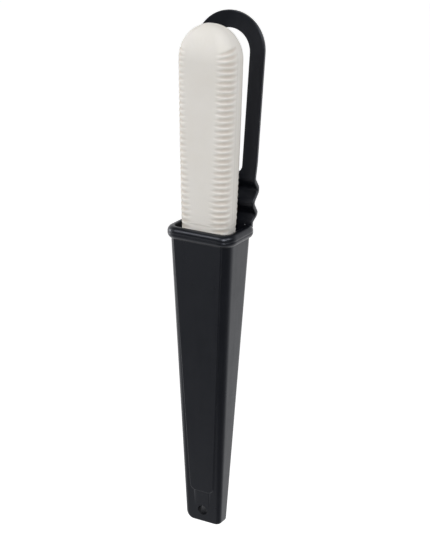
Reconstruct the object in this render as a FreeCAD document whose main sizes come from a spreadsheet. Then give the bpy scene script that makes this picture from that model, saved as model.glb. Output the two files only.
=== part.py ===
"""Belt scabbard with a ribbed grip and a blade, as a parametric document.

Three real pieces make the object. The scabbard is one polypropylene moulding:
a tapered sheath, a corrugated neck that flexes and a leaning belt loop. It is
split into three solids at the two ends of the neck, so that the loop can bend.
The grip is moulded onto the tang of the blade, and the two are drawn together.

Every sketch is drawn from the datum, the middle of the mouth's bead. +Z is up,
+X is the wearer's right when the scabbard is seen from the front, and -Y is the
front. Each placement then moves the datum so that the origin lies under the
arch of the belt loop, where the belt carries the weight. Millimetres, degrees.
"""
import FreeCAD, Part
import math
import os
import Sketcher
from FreeCAD import Placement, Rotation, Vector

SIZES = {
    # bead round the mouth
    "rim_width": 40.0,
    "rim_depth": 30.4,
    "rim_corner": 8.1,
    "rim_height": 6.6,
    "rim_round": 1.5,
    # outside of the sheath, just under the bead and at the tip
    "body_width": 36.0,
    "body_depth": 26.4,
    "body_corner": 5.7,
    "tip_width": 21.2,
    "tip_depth": 8.6,
    "tip_corner": 2.2,
    "tip_shift": -0.5,
    "tip_drop": 165.4,
    "tip_round_left": 4.2,
    "tip_round_right": 2.0,
    # cavity
    "wall": 2.0,
    "cavity_corner": 3.7,
    "cavity_drop": 150.0,
    "floor_width": 18.4,
    "floor_depth": 6.2,
    "floor_corner": 2.2,
    # raised panel on the front face
    "panel_top_drop": 2.6,
    "panel_low_drop": 146.3,
    "panel_top_half": 13.8,
    "panel_low_half": 6.7,
    "panel_corner": 3.0,
    "panel_proud": 0.6,
    # hole through the tip
    "hole_radius": 2.75,
    "hole_drop": 158.3,
    # strap that makes the neck and the loop
    "strap_thick": 2.2,
    "neck_half": 19.6,
    "neck_root_half": 17.9,
    "neck_flare": 5.5,
    "neck_bend": 2.6,
    "loop_lean": 5.9,
    "loop_half": 20.0,
    "loop_window_half": 11.8,
    "loop_foot": 29.2,
    "loop_foot_back": 11.5,
    "loop_length": 82.5,
    "loop_lead": 1.95,
    "window_sill": 0.8,
    "window_head": 8.9,
    "window_corner": 4.0,
    # grip
    "grip_back_shift": -1.6,
    "guard_drop": 18.0,
    "guard_width": 24.0,
    "guard_depth": 14.0,
    "guard_corner": 5.0,
    "mouth_width": 27.6,
    "mouth_depth": 18.2,
    "mouth_corner": 6.6,
    "mouth_rise": 4.0,
    "waist_width": 30.0,
    "waist_depth": 19.7,
    "waist_corner": 7.1,
    "waist_rise": 48.0,
    "butt_width": 31.6,
    "butt_depth": 21.0,
    "butt_corner": 7.6,
    "butt_rise": 90.0,
    "dome_height": 17.8,
    # blade and tang
    "blade_thick": 1.8,
    "blade_spine": 8.5,
    "blade_heel": 10.5,
    "blade_belly": 7.4,
    "belly_drop": 104.0,
    "point_drop": 142.0,
    "tang_half": 6.0,
    "tang_rise": 72.0,
}

# Corners of the neck's middle line as (back, up), before its bends are rounded.
NECK_CORNERS = ((12.1, 4.3), (14.5, 8.7), (9.7, 15.2), (15.9, 21.4))
DOME_ANGLES = (18, 36, 54, 70, 82)

document = FreeCAD.newDocument("belt_scabbard")
sheet = document.addObject("Spreadsheet::Sheet", "sizes")
for row, (alias, value) in enumerate(SIZES.items(), start=1):
    sheet.set(f"A{row}", alias)
    sheet.set(f"B{row}", str(value))
    sheet.setAlias(f"B{row}", alias)
document.recompute()


def size(alias):
    """Return the value of a driving dimension, read from the sheet."""
    return float(sheet.get(alias))


def new_body(label):
    """Add a body whose label names its file."""
    body = document.addObject("PartDesign::Body", label)
    body.Label = label
    return body


def new_sketch(body, name, role, along=None, tilt=None):
    """Add a sketch on an origin plane, moved along its normal and tilted about its own X."""
    plane = next(item for item in body.Origin.OriginFeatures if item.Role == role)
    sketch = body.newObject("Sketcher::SketchObject", name)
    sketch.AttachmentSupport = [(plane, "")]
    sketch.MapMode = "FlatFace"
    if tilt is not None:
        sketch.AttachmentOffset = Placement(Vector(), Rotation(Vector(1, 0, 0), 1))
        sketch.setExpression(".AttachmentOffset.Rotation.Angle", tilt)
    if along is not None:
        sketch.setExpression(".AttachmentOffset.Base.z", along)
    return sketch


def bind(sketch, kind, *where, to):
    """Add a driving constraint and tie its value to an expression."""
    value = float(sketch.evalExpression(to))
    index = sketch.addConstraint(Sketcher.Constraint(kind, *where, value))
    sketch.setExpression(f"Constraints[{index}]", to)


def join_loop(sketch, pieces):
    """Join each piece's end tangent to the start of the next, all the way round."""
    for piece, following in zip(pieces, pieces[1:] + pieces[:1]):
        sketch.addConstraint(Sketcher.Constraint("Tangent", piece, 2, following, 1))


def add_line(sketch, start, end):
    """Draw a line between two sketch points."""
    return sketch.addGeometry(Part.LineSegment(Vector(*start, 0), Vector(*end, 0)))


def add_arc(sketch, centre, radius, begin, sweep=90):
    """Draw an arc that turns left from one angle, in degrees."""
    circle = Part.Circle(Vector(*centre, 0), Vector(0, 0, 1), radius)
    angles = (math.radians(begin), math.radians(begin + sweep))
    return sketch.addGeometry(Part.ArcOfCircle(circle, *angles))


def rounded_rectangle(sketch, width, depth, corner, shift="0"):
    """Draw a rounded rectangle centred on X, its middle shifted along Y, all sizes bound."""
    half_x, half_y, radius = 10.0, 6.0, 2.0
    flat_x, flat_y = half_x - radius, half_y - radius
    lower = add_line(sketch, (-flat_x, -half_y), (flat_x, -half_y))
    first_arc = add_arc(sketch, (flat_x, -flat_y), radius, -90)
    right = add_line(sketch, (half_x, -flat_y), (half_x, flat_y))
    arcs = [first_arc, add_arc(sketch, (flat_x, flat_y), radius, 0)]
    upper = add_line(sketch, (flat_x, half_y), (-flat_x, half_y))
    arcs.append(add_arc(sketch, (-flat_x, flat_y), radius, 90))
    left = add_line(sketch, (-half_x, flat_y), (-half_x, -flat_y))
    arcs.append(add_arc(sketch, (-flat_x, -flat_y), radius, 180))
    join_loop(sketch, [lower, arcs[0], right, arcs[1], upper, arcs[2], left, arcs[3]])
    for line in (lower, upper):
        sketch.addConstraint(Sketcher.Constraint("Horizontal", line))
    for line in (left, right):
        sketch.addConstraint(Sketcher.Constraint("Vertical", line))
    for arc in arcs[1:]:
        sketch.addConstraint(Sketcher.Constraint("Equal", first_arc, arc))
    bind(sketch, "Radius", first_arc, to=corner)
    bind(sketch, "DistanceX", -1, 1, right, 1, to=f"{width} / 2")
    bind(sketch, "DistanceX", left, 1, -1, 1, to=f"{width} / 2")
    bind(sketch, "DistanceY", -1, 1, upper, 1, to=f"{depth} / 2 + {shift}")
    bind(sketch, "DistanceY", lower, 1, -1, 1, to=f"{depth} / 2 - ({shift})")


def loft(body, name, sketches, subtract=False, ruled=True):
    """Loft through the sketches in order, adding to the body or cutting from it."""
    kind = "PartDesign::SubtractiveLoft" if subtract else "PartDesign::AdditiveLoft"
    feature = body.newObject(kind, name)
    feature.Profile = sketches[0]
    feature.Sections = [(sketch, [""]) for sketch in sketches[1:]]
    feature.Ruled = ruled
    document.recompute()
    return feature


def pad(body, name, sketch, length):
    """Pad a sketch by a bound length, half to each side of its plane."""
    feature = body.newObject("PartDesign::Pad", name)
    feature.Profile = sketch
    feature.SideType = "Symmetric"
    feature.setExpression("Length", length)
    document.recompute()
    return feature


def pocket(body, name, sketch, length):
    """Cut a sketch out to both sides of its plane and make sure that it took material away."""
    before = body.Shape.Volume
    feature = body.newObject("PartDesign::Pocket", name)
    feature.Profile = sketch
    feature.SideType = "Symmetric"
    feature.setExpression("Length", length)
    document.recompute()
    if not body.Shape.Volume < before:
        raise ValueError(f"{name} cuts nothing")
    return feature


def closed_outline(sketch, points):
    """Draw straight sides through the points and back to the first."""
    for start, end in zip(points, points[1:] + points[:1]):
        add_line(sketch, start, end)


def make_sheath(body):
    """Tapered tube with a beaded mouth, a raised front panel and a holed solid tip."""
    outer = [
        new_sketch(body, "outline_under_bead", "XY_Plane", along="-sizes.rim_height / 2"),
        new_sketch(body, "outline_at_tip", "XY_Plane", along="-sizes.tip_drop"),
    ]
    rounded_rectangle(outer[0], "sizes.body_width", "sizes.body_depth", "sizes.body_corner")
    rounded_rectangle(outer[1], "sizes.tip_width", "sizes.tip_depth", "sizes.tip_corner",
                      "sizes.tip_shift")
    loft(body, "taper", outer)

    bead_outline = new_sketch(body, "bead_outline", "XY_Plane")
    rounded_rectangle(bead_outline, "sizes.rim_width", "sizes.rim_depth", "sizes.rim_corner")
    bead = pad(body, "bead", bead_outline, "sizes.rim_height")

    half_height = size("rim_height") / 2
    outside = size("rim_depth") / 2 - 0.01
    edges = []
    for index, edge in enumerate(bead.Shape.Edges, start=1):
        box = edge.BoundBox
        level = abs(abs(box.ZMin) - half_height) < 1e-6 and box.ZLength < 1e-6
        at_back_or_front = max(abs(box.YMin), abs(box.YMax)) > outside
        at_side = max(abs(box.XMin), abs(box.XMax)) > size("rim_width") / 2 - 0.01
        if level and (at_back_or_front or at_side):
            edges.append(f"Edge{index}")
    rounding = body.newObject("PartDesign::Fillet", "bead_rounding")
    rounding.Base = (bead, edges)
    rounding.setExpression("Radius", "sizes.rim_round")
    document.recompute()

    inner = [
        new_sketch(body, "mouth_outline", "XY_Plane", along="sizes.rim_height / 2"),
        new_sketch(body, "cavity_floor", "XY_Plane", along="-sizes.cavity_drop"),
    ]
    rounded_rectangle(inner[0], "(sizes.body_width - 2 * sizes.wall)",
                      "(sizes.body_depth - 2 * sizes.wall)", "sizes.cavity_corner")
    rounded_rectangle(inner[1], "sizes.floor_width", "sizes.floor_depth",
                      "sizes.floor_corner", "sizes.tip_shift")
    loft(body, "cavity", inner, subtract=True)

    # The panel's face runs parallel to the front face, which leans with the taper.
    run = "(sizes.tip_drop - sizes.rim_height / 2)"
    fall = "(sizes.body_depth / 2 - sizes.tip_depth / 2 + sizes.tip_shift)"
    lean = f"atan({fall} / {run})"
    foot = f"sizes.body_depth / 2 + {fall} / {run} * sizes.rim_height / 2"
    panel = new_sketch(body, "panel_outline", "XZ_Plane", along=foot, tilt=lean)
    draw_panel(panel)
    pad(body, "panel", panel, "2 * sizes.panel_proud")

    tip_hole = new_sketch(body, "tip_hole_outline", "XZ_Plane")
    circle = Part.Circle(Vector(0, -size("hole_drop"), 0), Vector(0, 0, 1), size("hole_radius"))
    hole = tip_hole.addGeometry(circle)
    bind(tip_hole, "Radius", hole, to="sizes.hole_radius")
    bind(tip_hole, "DistanceY", hole, 3, -1, 1, to="sizes.hole_drop")
    tip_hole.addConstraint(Sketcher.Constraint("PointOnObject", hole, 3, -2))
    pocket(body, "tip_hole", tip_hole, "sizes.rim_depth")

    corners = new_sketch(body, "tip_corners", "XZ_Plane")
    draw_tip_corners(corners)
    pocket(body, "tip_rounding", corners, "sizes.rim_depth")


def draw_panel(sketch):
    """Long tapered panel with two rounded lower corners."""
    top, low = -size("panel_top_drop"), -size("panel_low_drop")
    top_half, low_half = size("panel_top_half"), size("panel_low_half")
    radius = size("panel_corner")
    side_tilt = math.atan((top_half - low_half) / (top - low))
    turn = math.pi / 2 - side_tilt
    centre = (low_half - radius * math.tan(turn / 2), low + radius)
    touch = (centre[0] + radius * math.cos(side_tilt), centre[1] - radius * math.sin(side_tilt))
    sweep = math.degrees(turn)
    add_line(sketch, (-top_half, top), (top_half, top))
    add_line(sketch, (top_half, top), touch)
    add_arc(sketch, centre, radius, -90, sweep)
    add_line(sketch, (centre[0], low), (-centre[0], low))
    add_arc(sketch, (-centre[0], centre[1]), radius, -90 - sweep, sweep)
    add_line(sketch, (-touch[0], touch[1]), (-top_half, top))


def draw_tip_corners(sketch):
    """Two waste pieces outside the rounded corners of the tip."""
    half, low, beyond = size("tip_width") / 2, -size("tip_drop"), 1.0
    for side, radius in ((-1, size("tip_round_left")), (1, size("tip_round_right"))):
        centre = (side * (half - radius), low + radius)
        corner = (side * (half + beyond), low - beyond)
        add_arc(sketch, centre, radius, -90 if side > 0 else 180)
        add_line(sketch, (centre[0], low), (centre[0], corner[1]))
        add_line(sketch, (centre[0], corner[1]), corner)
        add_line(sketch, corner, (corner[0], centre[1]))
        add_line(sketch, (corner[0], centre[1]), (side * half, centre[1]))


def draw_band(sketch, corners, thickness, bend):
    """Outline a band of even thickness along a zigzag line with rounded bends."""
    points = [Vector(*corner, 0) for corner in corners]
    headings = [(end - start).normalize() for start, end in zip(points, points[1:])]
    half = thickness / 2
    for side in (1, -1):
        begin = points[0] + side * half * headings[0].cross(Vector(0, 0, 1))
        for point, arrive, leave in zip(points[1:-1], headings, headings[1:]):
            left_turn = arrive.cross(leave).z > 0
            turn = arrive.getAngle(leave)
            inward = (leave - arrive).normalize()
            centre = point + inward * (bend / math.cos(turn / 2))
            outer_side = (side > 0) == left_turn
            radius = bend + half if outer_side else bend - half
            to_start = (arrive.cross(Vector(0, 0, 1))) * (1 if left_turn else -1)
            to_end = (leave.cross(Vector(0, 0, 1))) * (1 if left_turn else -1)
            arc_start = centre + to_start * radius
            arc_end = centre + to_end * radius
            add_line(sketch, begin[:2], arc_start[:2])
            first = to_start if left_turn else to_end
            add_arc(sketch, centre[:2], radius, math.degrees(math.atan2(first.y, first.x)),
                    math.degrees(turn))
            begin = arc_end
        end = points[-1] + side * half * headings[-1].cross(Vector(0, 0, 1))
        add_line(sketch, begin[:2], end[:2])
    for point, heading in ((points[0], headings[0]), (points[-1], headings[-1])):
        across = half * heading.cross(Vector(0, 0, 1))
        add_line(sketch, (point + across)[:2], (point - across)[:2])


def along_loop(distance):
    """Middle of the strap's thickness at a distance up the leaning line of the loop's plate."""
    lean = math.radians(size("loop_lean"))
    back = size("loop_foot_back") + distance * math.sin(lean)
    return back, size("loop_foot") + distance * math.cos(lean)


def make_neck(body):
    """Strap with two rounded corrugations, from the mouth's back wall to the loop."""
    profile = new_sketch(body, "neck_profile", "YZ_Plane")
    root = (NECK_CORNERS[0][0], size("rim_height") / 2)
    corners = (root,) + NECK_CORNERS + (along_loop(-size("loop_lead")), along_loop(0))
    draw_band(profile, corners, size("strap_thick"), size("neck_bend"))
    pad(body, "neck_strap", profile, "2 * sizes.neck_half")
    root_half, half = size("neck_root_half"), size("neck_half")
    low, beyond = size("rim_height") / 2, 1.0
    flare = new_sketch(body, "root_flare", "XZ_Plane")
    for side in (-1, 1):
        closed_outline(flare, [
            (side * root_half, low - beyond),
            (side * root_half, low),
            (side * half, low + size("neck_flare")),
            (side * (half + beyond), low + size("neck_flare")),
            (side * (half + beyond), low - beyond),
        ])
    pocket(body, "root_taper", flare, "2 * sizes.rim_depth")


def make_loop(body):
    """Flat leaning plate with an arched top and one long window for the belt."""
    plate = new_sketch(body, "loop_outline", "XZ_Plane", along="-sizes.loop_foot_back",
                       tilt="-sizes.loop_lean")
    plate.setExpression(".AttachmentOffset.Base.y", "sizes.loop_foot")
    outer, inner = size("loop_half"), size("loop_window_half")
    length, root = size("loop_length"), size("neck_half")
    sill, radius = size("window_sill"), size("window_corner")
    springing = length - outer
    inner_springing = length - size("window_head") - inner
    widening = 6.0
    add_line(plate, (-root, 0), (root, 0))
    add_line(plate, (root, 0), (outer, widening))
    add_line(plate, (outer, widening), (outer, springing))
    add_arc(plate, (0, springing), outer, 0, 180)
    add_line(plate, (-outer, springing), (-outer, widening))
    add_line(plate, (-outer, widening), (-root, 0))
    add_line(plate, (-inner + radius, sill), (inner - radius, sill))
    add_arc(plate, (inner - radius, sill + radius), radius, -90)
    add_line(plate, (inner, sill + radius), (inner, inner_springing))
    add_arc(plate, (0, inner_springing), inner, 0, 180)
    add_line(plate, (-inner, inner_springing), (-inner, sill + radius))
    add_arc(plate, (-inner + radius, sill + radius), radius, 180)
    pad(body, "loop_plate", plate, "sizes.strap_thick")


def grip_section(body, name, along, width, depth, corner):
    """Draw one cross-section of the grip at a height above the datum."""
    sketch = new_sketch(body, name, "XY_Plane", along=along)
    rounded_rectangle(sketch, width, depth, corner, "sizes.grip_back_shift")
    return sketch


def make_grip(body):
    """Long grip that swells from the guard to a domed butt, with a slot for the tang."""
    stations = []
    for name, level in (("guard", "-sizes.guard_drop"), ("mouth", "sizes.mouth_rise"),
                        ("waist", "sizes.waist_rise"), ("butt", "sizes.butt_rise")):
        stations.append(grip_section(body, f"{name}_section", level, f"sizes.{name}_width",
                                     f"sizes.{name}_depth", f"sizes.{name}_corner"))
    loft(body, "shaft", stations)

    dome = [grip_section(body, "dome_base", "sizes.butt_rise", "sizes.butt_width",
                         "sizes.butt_depth", "sizes.butt_corner")]
    for angle in DOME_ANGLES:
        share = f"cos({angle} deg)"
        level = f"sizes.butt_rise + sizes.dome_height * sin({angle} deg) / sin({DOME_ANGLES[-1]} deg)"
        dome.append(grip_section(body, f"dome_at_{angle}", level, f"(sizes.butt_width * {share})",
                                 f"(sizes.butt_depth * {share})", f"sizes.butt_corner * {share}"))
    loft(body, "dome", dome)

    slot = new_sketch(body, "tang_slot", "XZ_Plane")
    draw_tang(slot, -size("guard_drop") - 1.0)
    pocket(body, "tang_socket", slot, "sizes.blade_thick")


def draw_tang(sketch, low):
    """Straight tang from a lower level up to its end inside the grip."""
    half, top = size("tang_half"), size("tang_rise")
    closed_outline(sketch, [(-half, low), (half, low), (half, top), (-half, top)])


def make_blade(body):
    """Straight-backed blade with a curved belly near its point, and its tang."""
    outline = new_sketch(body, "blade_outline", "XZ_Plane")
    spine, heel, belly = -size("blade_spine"), size("blade_heel"), size("blade_belly")
    guard, start, point = -size("guard_drop"), -size("belly_drop"), -size("point_drop")
    tang, top = size("tang_half"), size("tang_rise")
    midway = ((belly + spine) / 2 + 3.4, (start + point) / 2 - 1.5)
    add_line(outline, (spine, point), (spine, guard))
    add_line(outline, (spine, guard), (-tang, guard))
    add_line(outline, (-tang, guard), (-tang, top))
    add_line(outline, (-tang, top), (tang, top))
    add_line(outline, (tang, top), (tang, guard))
    add_line(outline, (tang, guard), (heel, guard))
    add_line(outline, (heel, guard), (belly, start))
    outline.addGeometry(Part.Arc(Vector(belly, start, 0), Vector(*midway, 0),
                                 Vector(spine, point, 0)))
    pad(body, "blade_plate", outline, "sizes.blade_thick")


def place_under_arch(body):
    """Move the datum so that the origin lies where the belt bears under the arch."""
    belt = along_loop(size("loop_length") - size("window_head"))
    body.Placement = Placement(-Vector(0, *belt), Rotation())


def check_and_export(bodies):
    """Stop on any failed feature or bad solid, then write one STEP file per body."""
    document.recompute()
    for item in document.Objects:
        if {"Invalid", "Error"} & set(item.State):
            raise ValueError(f"{item.Label} failed: {item.State}")
    os.makedirs("parts", exist_ok=True)
    for body in bodies:
        shape = body.Shape
        if shape.isNull() or not shape.isValid() or len(shape.Solids) != 1:
            raise ValueError(f"{body.Label} is not one valid solid")
        shape.exportStep(f"parts/{body.Label}.step")
        print(body.Label, round(shape.Volume, 1), shape.BoundBox)


makers = {
    "sheath_body": make_sheath,
    "flex_neck": make_neck,
    "belt_loop": make_loop,
    "ribbed_grip": make_grip,
    "blade_and_tang": make_blade,
}
bodies = []
for label, make in makers.items():
    made = new_body(label)
    make(made)
    place_under_arch(made)
    bodies.append(made)
check_and_export(bodies)
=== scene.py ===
"""Looks of a fluted-grip knife that stands in a black moulded belt scabbard.

The shapes are worked out in millimetres from one datum, the middle of the bead
round the scabbard's mouth, and are moved into the row frame, in metres, as they
become meshes. +Z runs up the grip, -Y is the front and +Y is the belt loop's side.
"""

import logging
import math
from dataclasses import dataclass, field
from enum import Enum
from typing import ClassVar

import bmesh
import bpy
import numpy as np
from mathutils import Matrix, Vector


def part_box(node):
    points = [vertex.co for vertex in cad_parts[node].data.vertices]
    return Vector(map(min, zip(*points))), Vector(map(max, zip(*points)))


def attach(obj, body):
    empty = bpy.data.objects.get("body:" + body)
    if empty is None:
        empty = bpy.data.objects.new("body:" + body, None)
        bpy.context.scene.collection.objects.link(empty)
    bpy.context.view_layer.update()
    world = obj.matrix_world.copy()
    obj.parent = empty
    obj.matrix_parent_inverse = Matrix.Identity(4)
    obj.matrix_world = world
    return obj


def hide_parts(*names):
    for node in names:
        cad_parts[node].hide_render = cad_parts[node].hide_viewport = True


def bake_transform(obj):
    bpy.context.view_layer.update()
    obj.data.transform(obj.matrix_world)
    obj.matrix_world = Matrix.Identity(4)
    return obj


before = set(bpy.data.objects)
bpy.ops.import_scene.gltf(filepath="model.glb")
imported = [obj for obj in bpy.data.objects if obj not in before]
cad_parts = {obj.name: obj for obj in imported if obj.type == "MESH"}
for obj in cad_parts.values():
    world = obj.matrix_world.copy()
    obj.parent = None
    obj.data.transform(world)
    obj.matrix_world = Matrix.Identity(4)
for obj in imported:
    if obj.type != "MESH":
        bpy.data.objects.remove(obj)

log = logging.getLogger("scabbard")
MM = 0.001
MERGE_GAP = 2e-6
SHORTEST_EDGE = 1e-6

Pair = tuple[float, float]
Triple = tuple[float, float, float]
Inputs = dict[str | int, object]


class Slot(Enum):
    """Material slots that the record names."""

    BLACK = "scabbard_black"
    WHITE = "grip_white"
    STEEL = "blade_steel"


@dataclass(frozen=True)
class Datum:
    """Middle of the mouth's bead in the row frame, in millimetres."""

    back: float
    up: float

    @classmethod
    def from_frame(cls, half_bead: float) -> "Datum":
        """Find the datum from the box of the sheath.

        Args:
            half_bead: half of the bead's height, in millimetres.

        Returns:
            The datum of every shape in this file.
        """
        low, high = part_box("sheath_body")
        return cls((low.y + high.y) / 2 / MM, high.z / MM - half_bead)

    def to_row(self, points: np.ndarray) -> np.ndarray:
        """Move points from the datum, in millimetres, into the row frame, in metres."""
        return (points + np.array([0.0, self.back, self.up])) * MM


def smooth_step(low: float, high: float, value: np.ndarray) -> np.ndarray:
    """Rise from 0 at low to 1 at high along 3t^2 - 2t^3."""
    share = np.clip((value - low) / (high - low), 0.0, 1.0)
    return share * share * (3.0 - 2.0 * share)


def between(knots: np.ndarray, counts: list[int]) -> np.ndarray:
    """Divide each span between neighbouring knots evenly.

    Args:
        knots: knots along the last axis, one set per row.
        counts: how many steps each span is cut into.

    Returns:
        The knots and the points between them, along the last axis.
    """
    spans = []
    for index, count in enumerate(counts):
        start = knots[..., index : index + 1]
        step = knots[..., index + 1 : index + 2] - start
        spans.append(start + step * (np.arange(count) / count))
    return np.concatenate([*spans, knots[..., -1:]], axis=-1)


@dataclass
class Outline:
    """Half of a rounded rectangle at each height, from its front middle to its back middle.

    A point at distance d along it lies on the front flat while d is under the flat's
    length, then on the front corner's arc, the side flat, the back corner's arc and
    the back flat.
    """

    half_width: np.ndarray
    half_depth: np.ndarray
    corner: np.ndarray
    middle: np.ndarray
    flat_x: np.ndarray = field(init=False)
    flat_y: np.ndarray = field(init=False)
    arc: np.ndarray = field(init=False)

    def __post_init__(self) -> None:
        """Keep each corner no larger than the section it rounds."""
        limit = np.minimum(self.half_width, self.half_depth)
        self.corner = np.maximum(np.minimum(self.corner, limit * 0.999), 1e-4)
        self.flat_x = np.maximum(self.half_width - self.corner, 0.0)
        self.flat_y = np.maximum(self.half_depth - self.corner, 0.0)
        self.arc = self.corner * math.pi / 2

    def marks(self) -> np.ndarray:
        """Distances of the six ends of flats and arcs along the half outline."""
        ends = [self.flat_x, self.arc, self.flat_y, self.flat_y, self.arc, self.flat_x]
        return np.cumsum(np.stack(ends, axis=-1), axis=-1)

    def place(self, distance: np.ndarray) -> tuple[np.ndarray, np.ndarray, np.ndarray]:
        """Find the points at distances along the half outlines.

        Args:
            distance: rows of distances, one row per height.

        Returns:
            x, y, and the angle of the outward normal from the front, in radians.
        """
        flat_x, flat_y, radius, arc = (
            item[:, None] for item in (self.flat_x, self.flat_y, self.corner, self.arc)
        )
        first = np.clip((distance - flat_x) / radius, 0.0, math.pi / 2)
        second = np.clip((distance - flat_x - arc - 2 * flat_y) / radius, 0.0, math.pi / 2)
        angle = first + second
        along_side = np.clip(distance - flat_x - arc, 0.0, 2 * flat_y)
        along_back = np.clip(distance - flat_x - 2 * arc - 2 * flat_y, 0.0, flat_x)
        x = np.minimum(distance, flat_x) - along_back + radius * np.sin(angle)
        y = -flat_y + along_side - radius * np.cos(angle) + self.middle[:, None]
        return x, y, angle


def quads(rows: int, columns: int, wrap: bool = False) -> np.ndarray:
    """Corner indices of the faces of a grid whose points are stored row by row.

    Args:
        rows: how many rows of points the grid has.
        columns: how many points each row has.
        wrap: whether the last column joins the first.

    Returns:
        Four corner indices for each face.
    """
    across = columns if wrap else columns - 1
    row, column = np.meshgrid(np.arange(rows - 1), np.arange(across), indexing="ij")
    after = (column + 1) % columns
    corners = [row * columns + column, row * columns + after,
               (row + 1) * columns + after, (row + 1) * columns + column]
    return np.stack(corners, axis=-1).reshape(-1, 4)


def mirrored(points: np.ndarray, faces: np.ndarray) -> tuple[np.ndarray, np.ndarray]:
    """Add the other half across X = 0, with its faces turned so that they still face out."""
    other = points * np.array([-1.0, 1.0, 1.0])
    return np.vstack([points, other]), np.vstack([faces, faces[:, ::-1] + len(points)])


def make_mesh(name: str, points: np.ndarray, faces: np.ndarray, datum: Datum,
              crease: float = 35.0, **attributes: np.ndarray) -> bpy.types.Object:
    """Make an object from points and four-cornered faces, with seams and ends closed.

    Args:
        name: name of the piece.
        points: points from the datum, in millimetres.
        faces: corner indices, four to a face.
        datum: where the datum lies in the row frame.
        crease: angle, in degrees, above which an edge is shaded sharp.
        attributes: one number per point, stored on the mesh under each name.

    Returns:
        The finished object, at the origin.
    """
    mesh = bpy.data.meshes.new(name)
    mesh.from_pydata(datum.to_row(points).tolist(), [], faces.tolist())
    for label, values in attributes.items():
        layer = mesh.attributes.new(label, "FLOAT", "POINT")
        layer.data.foreach_set("value", values.astype(np.float32))
    work = bmesh.new()
    work.from_mesh(mesh)
    bmesh.ops.remove_doubles(work, verts=work.verts, dist=MERGE_GAP)
    bmesh.ops.dissolve_degenerate(work, edges=work.edges, dist=SHORTEST_EDGE)
    rims = [edge for edge in work.edges if edge.is_boundary]
    bmesh.ops.holes_fill(work, edges=rims, sides=0)
    bmesh.ops.recalc_face_normals(work, faces=work.faces)
    work.to_mesh(mesh)
    work.free()
    mesh.polygons.foreach_set("use_smooth", [True] * len(mesh.polygons))
    mesh.set_sharp_from_angle(angle=math.radians(crease))
    mesh.update()
    piece = bpy.data.objects.new(name, mesh)
    bpy.context.scene.collection.objects.link(piece)
    return piece


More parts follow.
